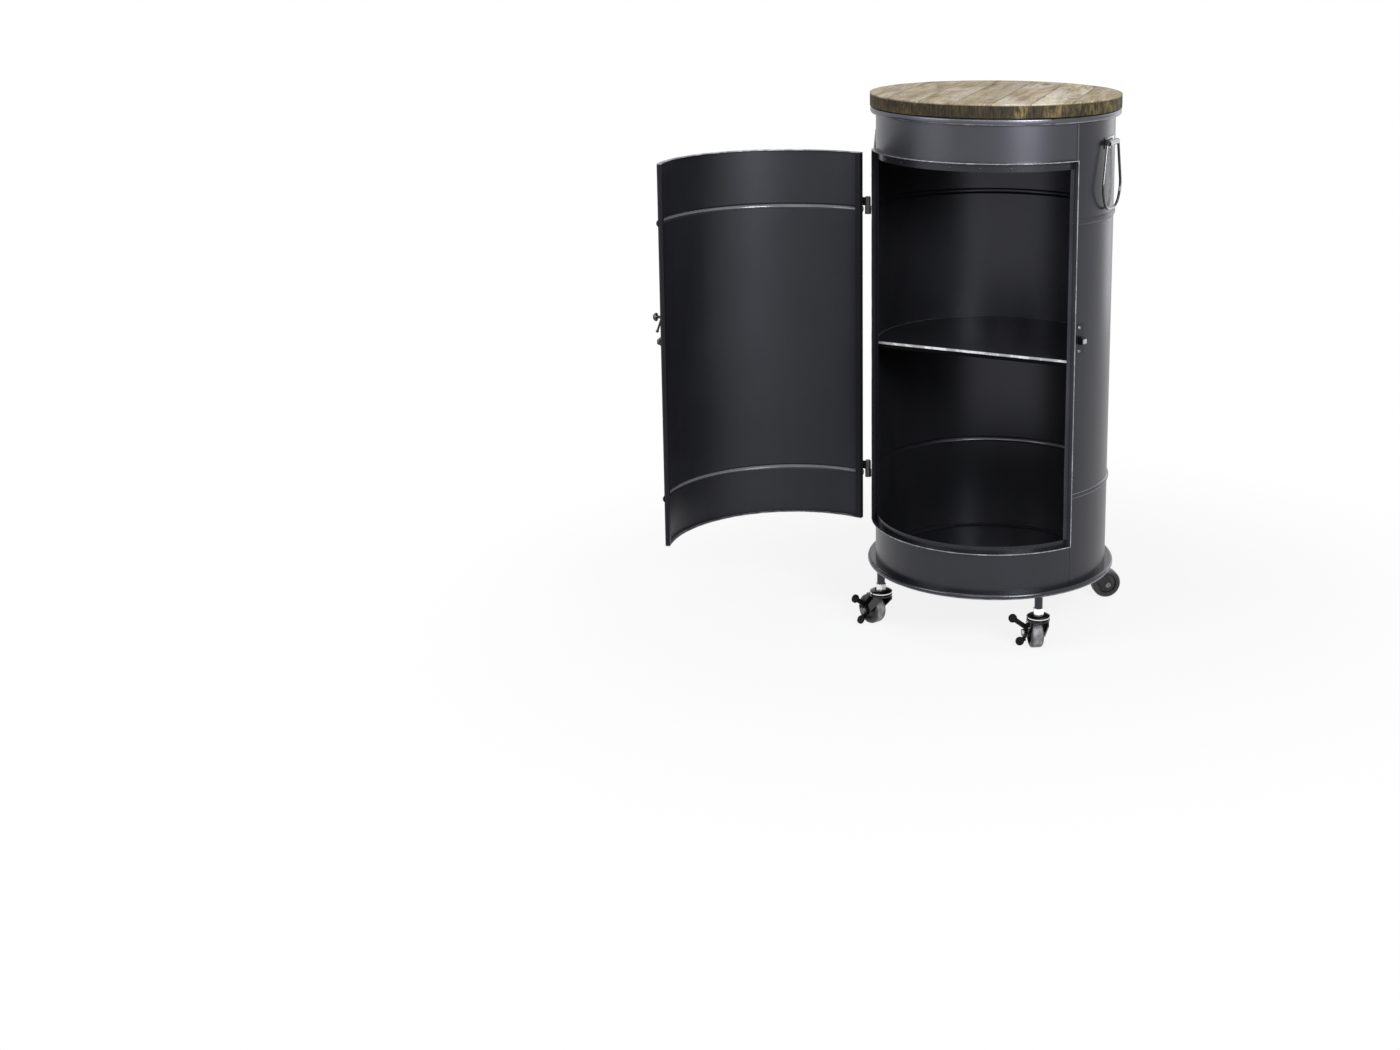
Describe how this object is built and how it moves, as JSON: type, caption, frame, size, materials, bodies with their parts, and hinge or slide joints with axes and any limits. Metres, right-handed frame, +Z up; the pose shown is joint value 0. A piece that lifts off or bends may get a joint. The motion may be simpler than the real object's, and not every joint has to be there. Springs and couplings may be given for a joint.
{
  "type": "bar cabinet",
  "caption": "Round drum-shaped steel bar cabinet on casters: curved hinged door with a bolt, one shelf, side bail handles and a round plank lid",
  "frame": {"origin": "on the floor, on the drum's axis", "axes": "+Z up, the doorway faces -Y, the door's hinges are on the -X side; the door stands open 130 degrees at rest"},
  "size_m": [0.5873, 0.5225, 0.7995],
  "materials": {
    "drum_paint": "satin charcoal-black paint on sheet steel",
    "rim_paint": "satin charcoal paint, worn brighter along the rolled edges",
    "frame_paint": "satin charcoal paint with bright worn edges",
    "inner_paint": "satin blue-black paint",
    "black_wire": "semi-gloss black paint on steel",
    "zinc": "bright zinc plate",
    "caster_black": "glossy black enamel on pressed steel",
    "hub_grey": "dark grey moulded nylon",
    "tyre": "dark grey hard rubber",
    "lid_wood": "weathered olive-brown planks with saw marks, dull oiled"
  },
  "bodies": {
    "cabinet": {"drum_wrapper": "drum_paint", "upper_apron": "drum_paint", "lower_apron": "drum_paint", "base_ring": "rim_paint", "top_rim": "rim_paint", "floor_plate": "inner_paint", "top_plate": "inner_paint", "lid_planks": "lid_wood", "lid_screws": "zinc", "frame_sill": "frame_paint", "frame_lintel": "frame_paint", "frame_jamb_left": "frame_paint", "frame_jamb_right": "frame_paint", "shelf": "inner_paint", "hinge_leaf_body_lower": "frame_paint", "hinge_leaf_body_upper": "frame_paint", "hinge_pins": "black_wire", "keeper_plate": "black_wire", "keeper_rivets": "black_wire", "handle_bracket_left": "black_wire", "handle_bracket_right": "black_wire", "stem_sockets": "frame_paint", "caster_studs": "zinc", "caster_nuts": "zinc", "caster_caps": "caster_black"},
    "door": {"door_panel": "drum_paint", "hinge_leaf_door_lower": "frame_paint", "hinge_leaf_door_upper": "frame_paint", "bolt_guides": "black_wire", "knob": "black_wire"},
    "bolt": {"bolt_rod": "zinc"},
    "bail_left": {"handle_bail_left": "black_wire"},
    "bail_right": {"handle_bail_right": "black_wire"},
    "caster_front_left": {"fork_front_left": "caster_black", "axle_front_left": "zinc"},
    "wheel_front_left": {"wheel_hub_front_left": "hub_grey", "tyre_front_left": "tyre"},
    "pedal_front_left": {"brake_lever_front_left": "caster_black"},
    "caster_front_right": {"fork_front_right": "caster_black", "axle_front_right": "zinc"},
    "wheel_front_right": {"wheel_hub_front_right": "hub_grey", "tyre_front_right": "tyre"},
    "pedal_front_right": {"brake_lever_front_right": "caster_black"},
    "caster_back_right": {"fork_back_right": "caster_black", "axle_back_right": "zinc"},
    "wheel_back_right": {"wheel_hub_back_right": "hub_grey", "tyre_back_right": "tyre"},
    "pedal_back_right": {"brake_lever_back_right": "caster_black"},
    "caster_back_left": {"fork_back_left": "caster_black", "axle_back_left": "zinc"},
    "wheel_back_left": {"wheel_hub_back_left": "hub_grey", "tyre_back_left": "tyre"},
    "pedal_back_left": {"brake_lever_back_left": "caster_black"}
  },
  "joints": [
    {"name": "door_swing", "type": "hinge", "parent": "cabinet", "child": "door", "pos_m": [-0.16528, -0.08747, 0.4], "axis": [0, 0, 1], "range_deg": [-40, 130]},
    {"name": "latch_bolt", "type": "slide", "parent": "door", "child": "bolt", "axis": [0.3313, -0.9435, 0], "range_m": [0, 0.016]},
    {"name": "handle_left", "type": "hinge", "parent": "cabinet", "child": "bail_left", "pos_m": [-0.1802, 0, 0.7348], "axis": [0, 1, 0], "range_deg": [0, 160]},
    {"name": "handle_right", "type": "hinge", "parent": "cabinet", "child": "bail_right", "pos_m": [0.1802, 0, 0.7348], "axis": [0, -1, 0], "range_deg": [0, 160]},
    {"name": "swivel_front_left", "type": "hinge", "parent": "cabinet", "child": "caster_front_left", "pos_m": [-0.12579, -0.12579, 0.05], "axis": [0, 0, 1], "continuous": true},
    {"name": "wheel_front_left", "type": "hinge", "parent": "caster_front_left", "child": "wheel_front_left", "pos_m": [-0.14407, -0.11766, 0.0225], "axis": [-0.4067, -0.9135, 0], "continuous": true},
    {"name": "pedal_front_left", "type": "hinge", "parent": "caster_front_left", "child": "pedal_front_left", "pos_m": [-0.14407, -0.11766, 0.0225], "axis": [-0.4067, -0.9135, 0], "range_deg": [0, 25]},
    {"name": "swivel_front_right", "type": "hinge", "parent": "cabinet", "child": "caster_front_right", "pos_m": [0.12579, -0.12579, 0.05], "axis": [0, 0, 1], "continuous": true},
    {"name": "wheel_front_right", "type": "hinge", "parent": "caster_front_right", "child": "wheel_front_right", "pos_m": [0.1152, -0.10883, 0.0225], "axis": [-0.848, -0.5299, 0], "continuous": true},
    {"name": "pedal_front_right", "type": "hinge", "parent": "caster_front_right", "child": "pedal_front_right", "pos_m": [0.1152, -0.10883, 0.0225], "axis": [-0.848, -0.5299, 0], "range_deg": [0, 25]},
    {"name": "swivel_back_right", "type": "hinge", "parent": "cabinet", "child": "caster_back_right", "pos_m": [0.12579, 0.12579, 0.05], "axis": [0, 0, 1], "continuous": true},
    {"name": "wheel_back_right", "type": "hinge", "parent": "caster_back_right", "child": "wheel_back_right", "pos_m": [0.14218, 0.13727, 0.0225], "axis": [-0.5736, 0.8192, 0], "continuous": true},
    {"name": "pedal_back_right", "type": "hinge", "parent": "caster_back_right", "child": "pedal_back_right", "pos_m": [0.14218, 0.13727, 0.0225], "axis": [-0.5736, 0.8192, 0], "range_deg": [0, 25]},
    {"name": "swivel_back_left", "type": "hinge", "parent": "cabinet", "child": "caster_back_left", "pos_m": [-0.12579, 0.12579, 0.05], "axis": [0, 0, 1], "continuous": true},
    {"name": "wheel_back_left", "type": "hinge", "parent": "caster_back_left", "child": "wheel_back_left", "pos_m": [-0.13263, 0.107, 0.0225], "axis": [0.9397, -0.342, 0], "continuous": true},
    {"name": "pedal_back_left", "type": "hinge", "parent": "caster_back_left", "child": "pedal_back_left", "pos_m": [-0.13263, 0.107, 0.0225], "axis": [0.9397, -0.342, 0], "range_deg": [0, 25]}
  ]
}
